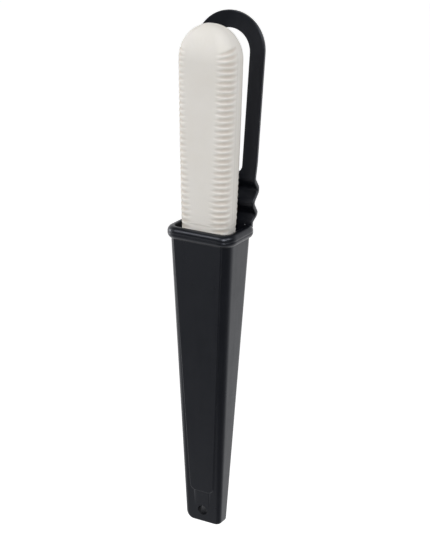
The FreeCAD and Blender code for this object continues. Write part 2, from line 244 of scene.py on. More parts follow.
@dataclass
class Sheath:
    """Tapered tube with a bead round its mouth, a raised front panel and a holed tip."""

    datum: Datum
    half_bead: float = 3.3
    bead_proud: float = 2.0
    bead_round: float = 2.9
    bead_fillet: float = 0.3
    bead_dip: float = 0.14
    lip_round: float = 0.7
    # half width, half depth and corner radius, under the bead and at the tip
    top: Triple = (18.0, 13.2, 5.7)
    tip: Triple = (10.6, 4.3, 2.2)
    tip_shift: float = -0.5
    low: float = -165.4
    tip_round_left: float = 4.2
    tip_round_right: float = 2.0
    tip_edge: float = 0.9
    wall: float = 2.0
    cavity_corner: float = 3.7
    cavity_floor: Triple = (9.2, 3.1, 2.2)
    cavity_low: float = -150.0
    panel_top: float = -2.6
    panel_low: float = -146.3
    panel_half: Pair = (13.8, 6.7)
    panel_corner: float = 3.0
    panel_proud: float = 0.6
    panel_slope: float = 0.7
    panel_sunk: float = 0.4
    panel_front_turn: float = math.pi / 3
    panel_below: float = 1.0
    # gaps between the panel's edge and the columns on either side of it
    edge_margins: Pair = (0.15, 0.1)
    # first and last row from the panel's foot, and the step between them
    foot_rows: Triple = (-0.4, 4.2, 0.14)
    # first row from the panel's foot, gap under the bead, and number of rows
    wall_rows: tuple[float, float, int] = (4.6, 0.6, 66)
    hole_radius: float = 2.75
    hole_up: float = -158.3
    # how far from the middle, and from a flat's normal, the hole moves the points
    hole_spread: float = 6.0
    flat_turn: float = 0.6

    def heights(self) -> tuple[np.ndarray, np.ndarray]:
        """List the rows of the outside wall, from the tip's end to the mouth's lip.

        Returns:
            Height of each row, and how far its outline grows past the taper.
        """
        turn = np.linspace(math.pi / 2, 0.0, 22)
        tip = self.low + self.tip_round_left * (1.0 - np.sin(turn))
        hole = self.hole_up - self.hole_radius * np.cos(np.linspace(0.0, math.pi, 25))
        start, stop, step = self.foot_rows
        panel_foot = np.arange(self.panel_low + start, self.panel_low + stop, step)
        past_foot, under_bead, count = self.wall_rows
        wall = np.linspace(self.panel_low + past_foot, -self.half_bead - under_bead, count)
        up = np.concatenate([tip, hole, panel_foot, wall])
        bead_up, bead_grow = self.bead_profile()
        return np.concatenate([up, bead_up]), np.concatenate([np.zeros_like(up), bead_grow])

    def bead_profile(self) -> tuple[np.ndarray, np.ndarray]:
        """Profile of the bead: a small root fillet, two quarter rounds and a hollow band.

        The band between the rounds dips along a parabola, and the lip is a quarter round.

        Returns:
            Height of each row, and how far its outline grows past the taper.
        """
        quarter = np.linspace(0.0, math.pi / 2, 9)
        base = self.bead_proud - self.bead_round
        edge = self.half_bead - self.bead_round
        start = math.asin((self.bead_fillet - base) / self.bead_round)
        low = np.linspace(start, math.pi / 2, 9)
        low_up = -edge - self.bead_round * np.cos(low)
        low_grow = base + self.bead_round * np.sin(low)
        root_up = low_up[0] - self.bead_fillet * (1.0 - np.sin(quarter[:-1]))
        root_grow = self.bead_fillet * (1.0 - np.cos(quarter[:-1]))
        high_up = edge + self.bead_round * np.cos(quarter[::-1])
        high_grow = base + self.bead_round * np.sin(quarter[::-1])
        band_up = np.linspace(-edge, edge, 9)[1:-1]
        band_grow = self.bead_proud - self.bead_dip * (1.0 - (band_up / edge) ** 2)
        lip_up = self.half_bead - self.lip_round * (1.0 - np.cos(quarter))
        lip_grow = -self.wall + self.lip_round * (1.0 - np.sin(quarter))
        flat_grow = np.linspace(base, -self.wall + self.lip_round, 6)[1:-1]
        flat_up = np.full_like(flat_grow, self.half_bead)
        up = [root_up, low_up, band_up, high_up, flat_up, lip_up]
        grow = [root_grow, low_grow, band_grow, high_grow, flat_grow, lip_grow]
        return np.concatenate(up), np.concatenate(grow)

    def section(self, up: np.ndarray, grow: np.ndarray, tip_round: float) -> Outline:
        """Outline of the outside wall: sizes run straight from under the bead to the tip.

        Within a corner radius of the tip's end the half width falls along a quarter circle.

        Args:
            up: height of each row.
            grow: how far each row's outline grows past the taper.
            tip_round: corner radius at the tip's end.

        Returns:
            The outline at each height.
        """
        share = np.clip((-self.half_bead - up) / (-self.half_bead - self.low), 0.0, 1.0)
        width, depth, corner = (a + (b - a) * share for a, b in zip(self.top, self.tip))
        rounded = np.clip(self.low + tip_round - up, 0.0, tip_round)
        width = width - tip_round + np.sqrt(tip_round**2 - rounded**2)
        eased = np.clip(self.low + self.tip_edge - up, 0.0, self.tip_edge)
        depth = depth - self.tip_edge + np.sqrt(self.tip_edge**2 - eased**2)
        return Outline(width + grow, depth + grow, corner + grow, self.tip_shift * share)

    def panel_edge(self, up: np.ndarray) -> np.ndarray:
        """Half width of the panel, which tapers straight from its top to its foot."""
        share = (self.panel_top - up) / (self.panel_top - self.panel_low)
        return self.panel_half[0] + (self.panel_half[1] - self.panel_half[0]) * share

    def columns(self, outline: Outline, up: np.ndarray) -> np.ndarray:
        """Space the columns so that several of them run down the panel's sloping edge.

        Args:
            outline: outline of the outside wall.
            up: height of each row.

        Returns:
            Distances along the half outlines, one row per height.
        """
        marks = outline.marks()
        half = self.panel_edge(up)
        past = np.clip((half - outline.flat_x) / outline.corner, 0.0, 0.9)
        on_arc = outline.flat_x + outline.corner * np.arcsin(past)
        edge = np.where(half < outline.flat_x, half, on_arc)
        edge = np.minimum(edge, marks[:, 1] * 0.8)
        before, after = self.edge_margins
        knots = np.stack([np.zeros_like(edge), edge - before, edge + self.panel_slope + after,
                          *marks.T[1:]], axis=-1)
        return between(knots, [26, 9, 14, 6, 6, 14, 22])

    def panel_front(self, x: np.ndarray, y: np.ndarray, level: np.ndarray,
                    face: np.ndarray) -> np.ndarray:
        """Front surface with the panel raised on it.

        Inside the outline the surface lies a step in front of the flat face. Outside it the
        step falls away along a quarter of a cosine wave, and never behind the wall. The
        outline is a tapered strip with two round lower corners.

        Args:
            x: place of each point across the sheath.
            y: depth of each point on the plain wall.
            level: height of each point.
            face: depth of the flat face at each height.

        Returns:
            Depth of each point with the panel added.
        """
        past_side = np.abs(x) - self.panel_edge(level) + self.panel_corner
        past_foot = self.panel_low - level + self.panel_corner
        outside = np.hypot(np.maximum(past_side, 0.0), np.maximum(past_foot, 0.0))
        inside = np.minimum(np.maximum(past_side, past_foot), 0.0)
        distance = outside + inside - self.panel_corner
        fall = np.clip(distance / self.panel_slope, 0.0, 1.0)
        drop = (self.panel_proud + self.panel_sunk) * (1.0 - np.cos(fall * math.pi / 2))
        raised = face - self.panel_proud + drop
        return np.where(fall < 1.0, np.minimum(raised, y), y)

    def outside(self, tip_round: float) -> np.ndarray:
        """Right half of the outside wall as a grid.

        Round the tip hole the points move sideways in proportion to the hole's half chord
        at their height, so that the middle column follows the hole's edge.

        Args:
            tip_round: corner radius at the tip's end.

        Returns:
            Points from the datum, by row and column.
        """
        up, grow = self.heights()
        outline = self.section(up, grow, tip_round)
        x, y, angle = outline.place(self.columns(outline, up))
        level = np.broadcast_to(up[:, None], x.shape)
        face = (outline.middle - outline.half_depth + grow)[:, None]
        at_panel = (level > self.panel_low - self.panel_below) & (level < self.panel_top)
        on_front = (angle < self.panel_front_turn) & at_panel
        y = np.where(on_front, self.panel_front(x, y, level, face), y)
        chord = np.sqrt(np.maximum(self.hole_radius**2 - (level - self.hole_up) ** 2, 0.0))
        spread = chord + x * (1.0 - chord / self.hole_spread)
        on_flat = np.minimum(angle, math.pi - angle) < self.flat_turn
        x = np.where(on_flat & (x < self.hole_spread), spread, x)
        return np.stack([x, y, level], axis=-1)

    def build(self) -> bpy.types.Object:
        """Build the shell as one closed surface: outside wall, bead, lip, cavity and tip hole.

        Returns:
            The sheath's object.
        """
        halves = []
        for side, tip_round in ((1, self.tip_round_right), (-1, self.tip_round_left)):
            wall = self.outside(tip_round)
            grid = np.concatenate([wall, self.build_cavity(wall.shape[1])])
            hole = self.hole_wall(grid.shape[1], wall[:, 0, 2])
            faces = np.vstack([quads(*grid.shape[:2]), hole])
            halves.append((grid.reshape(-1, 3) * np.array([side, 1.0, 1.0]), faces[:, ::side]))
        (right, right_faces), (left, left_faces) = halves
        points = np.vstack([right, left])
        faces = np.vstack([right_faces, left_faces + len(right)])
        return make_mesh("sheath_shell", points, faces, self.datum, crease=40.0)

    def build_cavity(self, columns: int) -> np.ndarray:
        """Inner wall from the lip down to the edge of the floor, with sizes that run straight.

        Args:
            columns: how many points each row has.

        Returns:
            Points from the datum, by row and column.
        """
        top = (self.top[0] - self.wall, self.top[1] - self.wall, self.cavity_corner)
        up = np.linspace(self.half_bead - self.lip_round, self.cavity_low, 70)
        share = (up[0] - up) / (up[0] - up[-1])
        width, depth, corner = (a + (b - a) * share for a, b in zip(top, self.cavity_floor))
        inner = Outline(width, depth, corner, self.tip_shift * share)
        marks = inner.marks()
        knots = np.concatenate([np.zeros((len(up), 1)), marks], axis=-1)
        front = (columns - 1) // 2 - 22
        counts = [14, front - 4, 12, 12, 16]
        counts.append(columns - 1 - sum(counts))
        x, y, _ = inner.place(between(knots, counts))
        return np.stack([x, y, np.broadcast_to(up[:, None], x.shape)], axis=-1)[1:]

    def hole_wall(self, columns: int, up: np.ndarray) -> np.ndarray:
        """Faces of the round wall that joins the front and back edges of the tip hole.

        Args:
            columns: how many points each row has.
            up: height of each row of the outside wall.

        Returns:
            Four corner indices for each face.
        """
        inside = np.flatnonzero(np.abs(up - self.hole_up) <= self.hole_radius + 1e-6)
        front = inside * columns
        back = inside * columns + columns - 1
        return np.stack([front[1:], front[:-1], back[:-1], back[1:]], axis=-1)


@dataclass
class Strap:
    """Belt loop and its corrugated neck, one strip of even thickness with eased edges."""

    datum: Datum
    thickness: float = 2.2
    edge: float = 0.45
    bend: float = 2.6
    # corners of the neck's line, as depth and height
    zigzag: tuple[Pair, ...] = (
        (12.1, 1.6), (12.1, 4.3), (14.5, 8.7), (9.7, 15.2), (15.9, 21.4))
    loop_foot: Pair = (11.5, 29.2)
    lead: float = 1.95
    lean: float = math.radians(5.9)
    length: float = 82.5
    head: float = 8.9
    half: float = 20.0
    neck_half: float = 19.6
    root_half: float = 17.9
    window_half: float = 11.8
    sill: float = 0.8
    window_corner: float = 4.0
    row_drop: float = 6.0
    drop_run: float = 12.0
    # stretches of the line over which the neck widens from its root and to the loop
    flare_run: Pair = (2.0, 9.0)
    widen_run: Pair = (-2.0, 8.0)
    path: np.ndarray = field(init=False)
    foot: float = field(init=False)

    def __post_init__(self) -> None:
        """Work out the line that the strip follows, seen from the side."""
        upward = np.array([math.sin(self.lean), math.cos(self.lean)])
        foot = np.array(self.loop_foot)
        top = foot + self.length * upward
        points = [np.array(corner) for corner in self.zigzag] + [foot - self.lead * upward, foot]
        line = [points[0]]
        for before, corner, after in zip(points, points[1:], points[2:] + [top]):
            line.extend(self.round_corner(before, corner, after))
        line.append(top)
        self.path = np.array(line)
        self.foot = self.distances()[-1] - self.length

    def round_corner(self, before: np.ndarray, corner: np.ndarray, after: np.ndarray) -> list:
        """Points of the arc that touches both lines at a corner of the zigzag.

        Args:
            before: the corner before this one.
            corner: the corner to round.
            after: the corner after this one.

        Returns:
            The arc's points, or the corner alone where the line is nearly straight.
        """
        arrive = (corner - before) / np.linalg.norm(corner - before)
        leave = (after - corner) / np.linalg.norm(after - corner)
        turn = math.acos(np.clip(arrive @ leave, -1.0, 1.0))
        if turn < 0.01:
            return [corner]
        inward = (leave - arrive) / np.linalg.norm(leave - arrive)
        centre = corner + inward * self.bend / math.cos(turn / 2)
        sweep = np.linspace(-turn / 2, turn / 2, 15)[:, None]
        forward = (arrive + leave) / np.linalg.norm(arrive + leave)
        return list(centre - inward * self.bend * np.cos(sweep)
                    + forward * self.bend * np.sin(sweep))

    def distances(self) -> np.ndarray:
        """Distance of each point of the line from its start."""
        steps = np.linalg.norm(np.diff(self.path, axis=0), axis=1)
        return np.concatenate([[0.0], np.cumsum(steps)])

    def wrap(self, x: np.ndarray, along: np.ndarray, through: np.ndarray) -> np.ndarray:
        """Bend flat strip coordinates onto the line.

        Args:
            x: place across the strip.
            along: distance along the line.
            through: place through the thickness, positive towards the back.

        Returns:
            Points whose height and depth are the line's, moved along the line's normal.
        """
        distance = self.distances()
        tangent = np.gradient(self.path, distance, axis=0)
        tangent /= np.linalg.norm(tangent, axis=1, keepdims=True)
        back, up = (np.interp(along, distance, self.path[:, i]) for i in (0, 1))
        across, rise = (np.interp(along, distance, tangent[:, i]) for i in (0, 1))
        return np.stack([x, back + rise * through, up - across * through], axis=-1)

    def width_at(self, half: np.ndarray | float, level: np.ndarray) -> np.ndarray:
        """Half width that grows from the neck's to the loop's past the loop's foot."""
        before, after = (self.foot + run for run in self.widen_run)
        return half + (self.half - self.neck_half) * smooth_step(before, after, level)

    def rows(self) -> tuple[np.ndarray, np.ndarray, np.ndarray, np.ndarray, int]:
        """Inner and outer edge points of each row of the right half, in flat strip coordinates.

        Below the window a row starts on the middle line. It then follows the sill, the
        sill's rounded corner, the straight side and the arch, while the outer edge runs on.
        Rows near the sill slope down towards the outer edge, so that no two of them cross.

        Returns:
            Inner points, outer points, directions at the inner points, directions at the
            outer points, and the first row that has a free inner edge. An outer direction
            points into the material. An inner one points out of it and is used as an inset.
        """
        foot = self.foot
        sill = foot + self.sill
        neck = np.append(np.linspace(0.0, sill - 2 * self.edge, 89), sill)
        beside = neck - self.row_drop * smooth_step(sill - self.drop_run, sill, neck)
        flare = smooth_step(*self.flare_run, beside)
        half = self.root_half + (self.neck_half - self.root_half) * flare
        half = self.width_at(half, beside)
        inner = [np.stack([np.zeros_like(neck), neck], axis=-1)]
        outer = [np.stack([half, beside], axis=-1)]
        inward = [np.tile([1.0, 0.0], (len(neck), 1))]

        reach = self.window_half - self.window_corner
        run = np.linspace(0.0, reach, 9)[1:]
        inner.append(np.stack([run, np.full_like(run, sill)], axis=-1))
        inward[0][-1] = (0.0, -1.0)
        inward.append(np.tile([0.0, -1.0], (len(run), 1)))
        turn = np.linspace(0.0, math.pi / 2, 11)[1:]
        centre = np.array([reach, sill + self.window_corner])
        spoke = np.stack([np.sin(turn), -np.cos(turn)], axis=-1)
        inner.append(centre + self.window_corner * spoke)
        inward.append(spoke)
        corner_top = sill + self.window_corner
        beside = np.linspace(sill - self.row_drop, corner_top, len(run) + len(turn) + 1)[1:]
        springing = foot + self.length - self.half
        inner_springing = foot + self.length - self.head - self.window_half
        side = np.linspace(corner_top, inner_springing, 24)[1:]
        inner.append(np.stack([np.full_like(side, self.window_half), side], axis=-1))
        inward.append(np.tile([1.0, 0.0], (len(side), 1)))
        share = (side - sill - self.window_corner) / (inner_springing - sill - self.window_corner)
        level = np.concatenate([beside, side + (springing - inner_springing) * share])
        outer.append(np.stack([self.width_at(self.neck_half, level), level], axis=-1))
        arch = np.linspace(0.0, math.pi / 2, 33)[1:]
        ray = np.stack([np.cos(arch), np.sin(arch)], axis=-1)
        inner.append(np.array([0.0, inner_springing]) + self.window_half * ray)
        outer.append(np.array([0.0, springing]) + self.half * ray)
        inward.append(ray)
        outer_points = np.concatenate(outer)
        outer_in = np.tile([-1.0, 0.0], (len(outer_points), 1))
        outer_in[-len(arch):] = -ray
        first_free = len(neck) - 1
        return np.concatenate(inner), outer_points, np.concatenate(inward), outer_in, first_free

    def edge_columns(self, edge: np.ndarray, into: np.ndarray, sign: float) -> np.ndarray:
        """Columns round one edge: a quarter round at each side of the thickness.

        Args:
            edge: points of the edge, across and along the strip.
            into: direction in which each point is inset.
            sign: 1 to run from the back to the front, -1 from the front to the back.

        Returns:
            Points across, along and through the strip, by row and column.
        """
        quarter = np.linspace(0.0, math.pi / 2, 5)
        rise = self.thickness / 2 - self.edge + self.edge * np.cos(quarter)
        lift = np.concatenate([rise, -rise[::-1]])
        inset = self.edge * (1.0 - np.sin(np.concatenate([quarter, quarter[::-1]])))
        place = edge[:, None, :] + into[:, None, :] * inset[None, :, None]
        through = np.broadcast_to(sign * lift[None, :, None], place.shape[:2] + (1,))
        return np.concatenate([place, through], axis=-1)

    def build(self) -> bpy.types.Object:
        """Build the strap as one closed strip whose edges are quarter rounds.

        Returns:
            The strap's object.
        """
        inner, outer, inner_in, outer_in, first_free = self.rows()
        seam = np.arange(len(inner)) < first_free
        outer_edge = self.edge_columns(outer, outer_in, -1.0)
        inner_edge = self.edge_columns(inner, np.where(seam[:, None], 0.0, inner_in), 1.0)
        share = (np.arange(1, 14) / 14)[None, :, None]
        front = inner_edge[:, -1:, :] + (outer_edge[:, :1, :] - inner_edge[:, -1:, :]) * share
        back = outer_edge[:, -1:, :] + (inner_edge[:, :1, :] - outer_edge[:, -1:, :]) * share
        flat_grid = np.concatenate([front, outer_edge, back, inner_edge], axis=1)
        points = self.wrap(flat_grid[..., 0], flat_grid[..., 1], flat_grid[..., 2])
        rows, columns = points.shape[:2]
        faces = quads(rows, columns, wrap=True)
        column = np.tile(np.arange(columns), rows - 1)
        row = np.repeat(np.arange(rows - 1), columns)
        first_inner = front.shape[1] + outer_edge.shape[1] + back.shape[1]
        free = (column < first_inner) | (column == columns - 1) | (row >= first_free)
        points, faces = mirrored(points.reshape(-1, 3), faces[free])
        return make_mesh("belt_strap", points, faces, self.datum, crease=50.0)


@dataclass
class Grip:
    """Moulded grip with a smooth strip down the middle of each face and fluted corners."""

    datum: Datum
    stations: Triple = (4.0, 48.0, 90.0)
    half_widths: Triple = (13.8, 15.0, 15.8)
    half_depths: Triple = (9.1, 9.85, 10.5)
    corner_radii: Triple = (6.6, 7.1, 7.6)
    # half width, half depth and corner radius at the lower end
    guard: Triple = (12.0, 7.0, 5.0)
    guard_up: float = -18.0
    guard_round: float = 1.6
    middle: float = -1.6
    dome: float = 17.8
    dome_knee: float = 0.56
    pole_gap: float = 0.012
    plain_top: float = 0.4
    fluted_low: float = 0.7
    fluted_step: float = 0.22
    pitch: float = 3.069
    first_flute: float = 3.78
    flutes: int = 31
    flute_deep: float = 0.28
    flute_radius: float = 3.2
    flute_levels: Triple = (8.0, 42.0, 85.0)
    flute_starts: Triple = (4.8, 7.0, 8.3)
    flute_ends: Triple = (18.5, 20.0, 23.0)
    back_levels: Triple = (8.0, 30.0, 38.0)
    back_ends: Triple = (17.5, 17.0, 14.6)
    # flutes end where the dome has shrunk to this share of the shaft
    flute_stop: float = 0.86
    fan_levels: Pair = (88.0, 97.0)
    fan_rise: float = 1.8
    fan_up: float = 91.0
    # middle and half breadth of the ring of rays, and the turns where they end and are full
    fan_ring: Pair = (8.6, 1.9)
    fan_turns: Pair = (0.95, 0.45)
    fan_rays: float = 26.0
    fan_proud: float = 0.07
    fan_face_turn: float = 1.2
    seam_proud: float = 0.10
    seam_half: float = 0.35
    seam_turn: float = 0.2
    step_up: float = 6.0
    step_half: float = 0.25
    step_deep: float = 0.14

    def sizes(self, up: np.ndarray) -> tuple[np.ndarray, ...]:
        """Half width, half depth and corner radius: a parabola through three stations.

        Below the lowest station the sizes run straight down to the guard's end.

        Args:
            up: height of each row.

        Returns:
            Half width, half depth and corner radius at each height.
        """
        results = []
        lowest = self.stations[0]
        share = np.clip((lowest - up) / (lowest - self.guard_up), 0.0, 1.0)
        sections = (self.half_widths, self.half_depths, self.corner_radii)
        for values, end in zip(sections, self.guard):
            parabola = np.polyfit(self.stations, values, 2)
            curve = np.polyval(parabola, np.maximum(up, lowest))
            results.append(curve + (end - values[0]) * share)
        return tuple(results)

    def flute_depth(self, up: np.ndarray, distance: np.ndarray, whole: np.ndarray) -> np.ndarray:
        """Depth of the cross flutes, which are round cuts across the corners.

        A flute's floor is a circle of the cutter's radius, so its depth is the depth at
        its middle less the squared distance along the grip over twice that radius. The
        depth at the middle falls as a parabola to nothing at both ends of the cut,
        which gives each flute the outline of a lens.

        Args:
            up: height of each point.
            distance: distance of each point along the half outline from the front.
            whole: length of each row's half outline.

        Returns:
            How far each point lies under the smooth surface.
        """
        from_face = np.minimum(distance, whole - distance)
        start = np.interp(up, self.flute_levels, self.flute_starts)
        front_end = np.interp(up, self.flute_levels, self.flute_ends)
        back_end = np.interp(up, self.back_levels, self.back_ends)
        end = np.where(distance < whole / 2, front_end, back_end)
        across = (from_face - (start + end) / 2) / ((end - start) / 2)
        slant = self.fan_rise * smooth_step(*self.fan_levels, up) * np.clip(across, -1, 1)
        place = (up - slant - self.first_flute) / self.pitch
        nearest = np.clip(np.rint(place), 0, self.flutes - 1)
        off = (place - nearest) * self.pitch
        cut = self.flute_deep * (1.0 - across**2) - off**2 / (2 * self.flute_radius)
        return np.maximum(cut, 0.0)

    def fan_height(self, x: np.ndarray, up: np.ndarray) -> np.ndarray:
        """Short rays round the butt end of the smooth strip.

        The rays are a cosine of the angle round a middle on the strip. They fade with
        the radius along a bell curve, and towards the sides along a smooth step.

        Args:
            x: place of each point across the grip.
            up: height of each point.

        Returns:
            How far each point stands over the smooth surface.
        """
        middle, width = self.fan_ring
        rise = up - self.fan_up
        turn = np.arctan2(x, rise)
        ring = np.exp(-(((np.hypot(x, rise) - middle) / width) ** 2))
        upward = smooth_step(*self.fan_turns, np.abs(turn))
        return self.fan_proud * ring * upward * np.cos(turn * self.fan_rays)

    def build(self) -> bpy.types.Object:
        """Build the grip as one closed surface from the guard's end to the top of the butt.

        The butt is a quarter of an ellipse that shrinks the section towards a pole.

        Returns:
            The grip's object.
        """
        shaft_top = self.stations[-1]
        end_turn = np.linspace(math.pi / 2, 0.0, 8)
        end = self.guard_up + self.guard_round * (1.0 - np.sin(end_turn))
        low = np.linspace(end[-1], self.plain_top, 12)[1:]
        fluted = np.arange(self.fluted_low, shaft_top, self.fluted_step)
        pole = math.pi / 2 - self.pole_gap
        turn = np.concatenate([np.linspace(0.0, self.dome_knee, 34),
                               np.linspace(self.dome_knee, pole, 36)[1:]])
        dome = shaft_top + self.dome * np.sin(turn)
        up = np.concatenate([end, low, fluted, dome])
        half_width, half_depth, corner = self.sizes(np.minimum(up, shaft_top))
        scale = np.ones_like(up)
        scale[-len(dome):] = np.cos(turn)
        shrink = np.zeros_like(up)
        shrink[: len(end)] = self.guard_round * (1.0 - np.cos(end_turn))
        outline = Outline(half_width * scale - shrink, half_depth * scale - shrink,
                          corner * scale - shrink * 0.5, np.full_like(up, self.middle))
        knots = np.concatenate([np.zeros((len(up), 1)), outline.marks()], axis=-1)
        distance = between(knots, [10, 30, 6, 6, 30, 10])
        x, y, angle = outline.place(distance)
        level = np.broadcast_to(up[:, None], x.shape)
        cut = self.flute_depth(level, distance, knots[:, -1:]) * (scale[:, None] > self.flute_stop)
        move = -cut + self.fan_height(x, level) * (angle < self.fan_face_turn)
        on_side = np.abs(angle - math.pi / 2) < self.seam_turn
        seam = np.exp(-(((y - self.middle) / self.seam_half) ** 2)) * on_side
        move = move + self.seam_proud * seam * (level > 0.0)
        over, under = self.step_up + self.step_half, self.step_up - self.step_half
        move = move - self.step_deep * smooth_step(over, under, level)
        x = np.maximum(x + move * np.sin(angle), 0.0)
        y = y - move * np.cos(angle)
        x[:, 0] = 0.0
        x[:, -1] = 0.0
        grid = np.stack([x, y, level], axis=-1)
        cap = self.cap(grid[0])
        top = self.cap(grid[-1])[::-1]
        # The flute depth goes onto the mesh as the hollow attribute, from which the grip's
        # material paints shade into the flutes.
        hollow = np.pad(cut, ((len(cap), len(top)), (0, 0)))
        grid = np.concatenate([cap, grid, top])
        faces = quads(*grid.shape[:2])
        points, faces = mirrored(grid.reshape(-1, 3), faces)
        depth = np.tile(hollow.reshape(-1) / self.flute_deep, 2)
        return make_mesh("fluted_grip", points, faces, self.datum, crease=60.0, hollow=depth)

    def cap(self, ring: np.ndarray) -> np.ndarray:
        """Rows that close a ring to its middle point, in straight shares of the way out.

        Args:
            ring: points of the ring.

        Returns:
            The rows, with the middle point first.
        """
        shares = np.array([0.0, 0.4, 0.75])[:, None, None]
        middle = np.array([0.0, self.middle, ring[0, 2]])
        return middle + (ring - middle) * shares


@dataclass
class Blade:
    """Straight-backed steel blade with a ground edge and a curved belly near the point."""

    datum: Datum
    half_thick: float = 0.9
    spine: float = -8.4
    heel: float = 10.4
    belly: float = 7.4
    belly_up: float = -104.0
    point_up: float = -141.9
    root_up: float = -16.6
    grind: float = 7.0
    edge_half: float = 0.04
    spine_round: float = 0.35

    def edge_line(self, up: np.ndarray) -> np.ndarray:
        """Cutting edge: straight to the belly, then a quarter of an ellipse to the point.

        Args:
            up: height of each row.

        Returns:
            Place of the edge across the blade at each height.
        """
        straight = np.interp(up, [self.belly_up, self.root_up], [self.belly, self.heel])
        share = np.clip((self.belly_up - up) / (self.belly_up - self.point_up), 0.0, 1.0)
        width = self.belly - self.spine
        return np.where(up < self.belly_up, self.spine + width * np.sqrt(1.0 - share**2), straight)

    def build(self) -> bpy.types.Object:
        """Build the blade as rows of thin sections, flat at the spine and ground to the edge.

        Returns:
            The blade's object.
        """
        turn = np.linspace(0.0, math.pi / 2, 40)
        curve = self.belly_up - (self.belly_up - self.point_up) * np.sin(turn)
        curve[-1] = self.point_up
        up = np.concatenate([np.linspace(self.root_up, self.belly_up, 60)[:-1], curve])
        edge = self.edge_line(up)
        width = np.maximum(edge - self.spine, 0.02)[:, None]
        share = np.concatenate([np.linspace(0.0, 0.05, 5), np.linspace(0.08, 1.0, 30)])[None, :]
        from_edge = width * (1.0 - share)
        half = self.half_thick * np.clip(from_edge / self.grind, 0.0, 1.0)
        from_spine = np.minimum(width * share, self.spine_round)
        short = self.spine_round - from_spine
        eased = self.spine_round - np.sqrt(self.spine_round**2 - short**2)
        half = np.maximum(half - eased, self.edge_half)
        x = self.spine + width * share
        level = np.broadcast_to(up[:, None], x.shape)
        one = np.stack([x, -half, level], axis=-1)
        two = np.stack([x, half, level], axis=-1)[:, ::-1]
        grid = np.concatenate([one, two], axis=1)
        root = grid[:1] * np.array([1.0, 0.0, 1.0])
        tip = grid[-1:] * np.array([1.0, 0.0, 1.0])
        grid = np.concatenate([root, grid, tip])
        faces = quads(*grid.shape[:2], wrap=True)
        return make_mesh("ground_blade", grid.reshape(-1, 3), faces, self.datum, crease=12.0)


def linear(hex_colour: str) -> tuple[float, float, float, float]:
    """Turn an sRGB hex colour into the linear values that a shader takes.

    Args:
        hex_colour: a hash and six hex digits.

    Returns:
        Linear red, green and blue, and an alpha of one.
    """
    codes = [int(hex_colour[i : i + 2], 16) / 255 for i in (1, 3, 5)]
    values = [c / 12.92 if c <= 0.04045 else ((c + 0.055) / 1.055) ** 2.4 for c in codes]
    return (*values, 1.0)


def add_node(tree: bpy.types.NodeTree, kind: str, links: Inputs | None = None,
             **settings: object) -> bpy.types.Node:
    """Add a node, set its properties and link or set its inputs.

    Args:
        tree: the material's node tree.
        kind: Blender's name for the node type.
        links: input name or number to a value or to another node's output.
        settings: properties of the node, set before its inputs.

    Returns:
        The new node.
    """
    node = tree.nodes.new(kind)
    for label, value in settings.items():
        setattr(node, label, value)
    for label, value in (links or {}).items():
        if isinstance(value, bpy.types.NodeSocket):
            tree.links.new(value, node.inputs[label])
        else:
            node.inputs[label].default_value = value
    return node


def per_metre(size_mm: float) -> float:
    """Scale of a pattern whose features repeat every so many millimetres."""
    return 1.0 / (size_mm * MM)


class Finish:
    """A material made of nodes round one Principled shader."""

    name: ClassVar[str]

    def inputs(self, tree: bpy.types.NodeTree) -> Inputs:
        """Add the nodes of the pattern and say what each input of the shader takes."""
        raise NotImplementedError

    def build(self) -> bpy.types.Material:
        """Make the material and feed its shader.

        Returns:
            The finished material.
        """
        material = bpy.data.materials.new(self.name)
        material.use_nodes = True
        tree = material.node_tree
        tree.nodes.clear()
        shader = add_node(tree, "ShaderNodeBsdfPrincipled", self.inputs(tree))
        add_node(tree, "ShaderNodeOutputMaterial", {"Surface": shader.outputs["BSDF"]})
        return material


